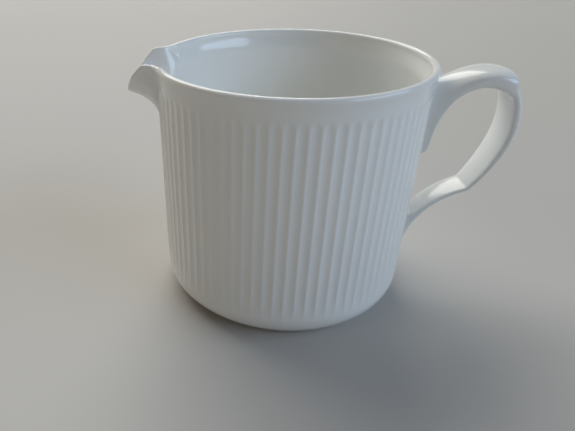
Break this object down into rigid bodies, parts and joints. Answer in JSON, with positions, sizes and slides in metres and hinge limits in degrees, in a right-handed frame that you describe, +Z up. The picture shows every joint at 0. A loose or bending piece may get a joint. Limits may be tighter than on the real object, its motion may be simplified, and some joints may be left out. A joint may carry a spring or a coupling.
{
  "type": "cream jug",
  "caption": "Small cylindrical porcelain pouring jug with vertical reeding, an applied beak spout and a strap handle with a thumb rest.",
  "frame": {"origin": "bottom centre of the whole jug's box, on the plane that the foot ring rests on", "axes": "+Z up, +X from the spout towards the handle, in the jug's plane of symmetry"},
  "size_m": [0.1194, 0.084, 0.0775],
  "materials": {
    "glazed_porcelain": "clear gloss glaze over white porcelain, with a wiped unglazed foot"
  },
  "bodies": {
    "root": {"body": "glazed_porcelain", "spout": "glazed_porcelain", "handle": "glazed_porcelain"}
  },
  "joints": []
}
